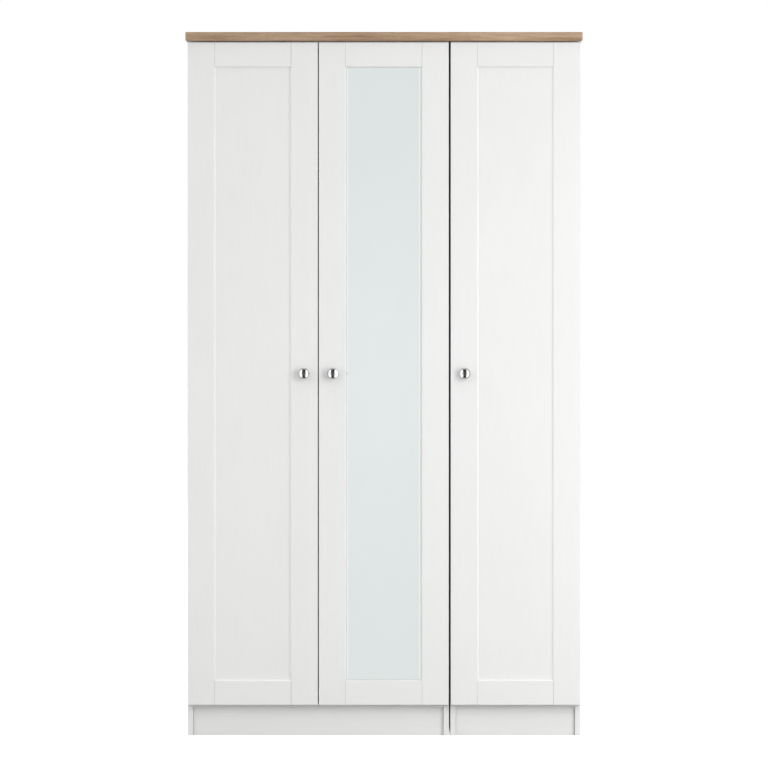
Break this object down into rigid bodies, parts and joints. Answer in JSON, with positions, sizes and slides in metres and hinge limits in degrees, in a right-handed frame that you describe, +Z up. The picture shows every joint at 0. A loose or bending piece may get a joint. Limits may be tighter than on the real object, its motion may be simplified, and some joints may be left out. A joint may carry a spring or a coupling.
{
  "type": "wardrobe with doors",
  "caption": "Tall wardrobe of a wide and a narrow carcass under one wood-effect top, with framed hinged doors, the middle one mirrored, and ball knobs.",
  "frame": {"origin": "on the floor, in the middle of the bounding box", "axes": "+X to the right seen from the front, +Y to the back (the doors face -Y), +Z up"},
  "size_m": [1.112, 0.552, 1.97],
  "materials": {
    "white_foil_board": "white foil on particle board, faint ash grain, satin",
    "oak_laminate_board": "oak-effect laminate, fine grain along the width, satin",
    "white_hardboard": "white painted hardboard, matt",
    "mirror_glass": "silvered float glass with a polished bevel",
    "chrome_plate": "bright chrome plate, polished",
    "nickel_plated_steel": "nickel-plated pressed steel, satin",
    "zinc_plated_steel": "zinc-plated steel, dull bright",
    "zinc_casting": "die-cast zinc alloy, as cast",
    "beech": "turned beech, unfinished",
    "clear_buffer": "clear polyurethane, glossy",
    "white_plastic": "moulded nylon, matt"
  },
  "bodies": {
    "carcass": {"cam_locks": "zinc_casting", "cam_pins": "zinc_plated_steel", "carcass_dowels": "beech", "connector_spacers": "white_plastic", "door_buffers": "clear_buffer", "double_back_panel": "white_hardboard", "double_base_panel": "white_foil_board", "double_hanging_rail": "chrome_plate", "double_left_side": "white_foil_board", "double_plinth": "white_foil_board", "double_rear_plinth": "white_foil_board", "double_right_side": "white_foil_board", "double_shelf": "white_foil_board", "double_sub_top": "white_foil_board", "fitting_screws": "zinc_plated_steel", "hinge_arms": "nickel_plated_steel", "hinge_clamp_screws": "nickel_plated_steel", "hinge_mounting_plates": "nickel_plated_steel", "rail_sockets": "chrome_plate", "shelf_pins": "zinc_plated_steel", "single_back_panel": "white_hardboard", "single_base_panel": "white_foil_board", "single_hanging_rail": "chrome_plate", "single_left_side": "white_foil_board", "single_plinth": "white_foil_board", "single_rear_plinth": "white_foil_board", "single_right_side": "white_foil_board", "single_shelf": "white_foil_board", "single_sub_top": "white_foil_board", "top_board": "oak_laminate_board", "top_fixing_screws": "zinc_plated_steel", "unit_connectors": "zinc_plated_steel"},
    "left_door": {"left_door_bottom_rail": "white_foil_board", "left_door_hinge_cups": "nickel_plated_steel", "left_door_hinge_pins": "zinc_plated_steel", "left_door_knob": "chrome_plate", "left_door_knob_screw": "zinc_plated_steel", "left_door_left_stile": "white_foil_board", "left_door_panel": "white_foil_board", "left_door_right_stile": "white_foil_board", "left_door_top_rail": "white_foil_board"},
    "mirror_door": {"mirror_door_bottom_rail": "white_foil_board", "mirror_door_glass": "mirror_glass", "mirror_door_hinge_cups": "nickel_plated_steel", "mirror_door_hinge_pins": "zinc_plated_steel", "mirror_door_knob": "chrome_plate", "mirror_door_knob_screw": "zinc_plated_steel", "mirror_door_left_stile": "white_foil_board", "mirror_door_panel": "white_foil_board", "mirror_door_right_stile": "white_foil_board", "mirror_door_top_rail": "white_foil_board"},
    "right_door": {"right_door_bottom_rail": "white_foil_board", "right_door_hinge_cups": "nickel_plated_steel", "right_door_hinge_pins": "zinc_plated_steel", "right_door_knob": "chrome_plate", "right_door_knob_screw": "zinc_plated_steel", "right_door_left_stile": "white_foil_board", "right_door_panel": "white_foil_board", "right_door_right_stile": "white_foil_board", "right_door_top_rail": "white_foil_board"}
  },
  "joints": [
    {"name": "left_door_swing", "type": "hinge", "parent": "carcass", "child": "left_door", "pos_m": [-0.5395, -0.2365, 1.014], "axis": [0, 0, -1], "range_deg": [0, 100]},
    {"name": "mirror_door_swing", "type": "hinge", "parent": "carcass", "child": "mirror_door", "pos_m": [0.1715, -0.2365, 1.014], "axis": [0, 0, 1], "range_deg": [0, 100]},
    {"name": "right_door_swing", "type": "hinge", "parent": "carcass", "child": "right_door", "pos_m": [0.5395, -0.2365, 1.014], "axis": [0, 0, 1], "range_deg": [0, 100]}
  ]
}
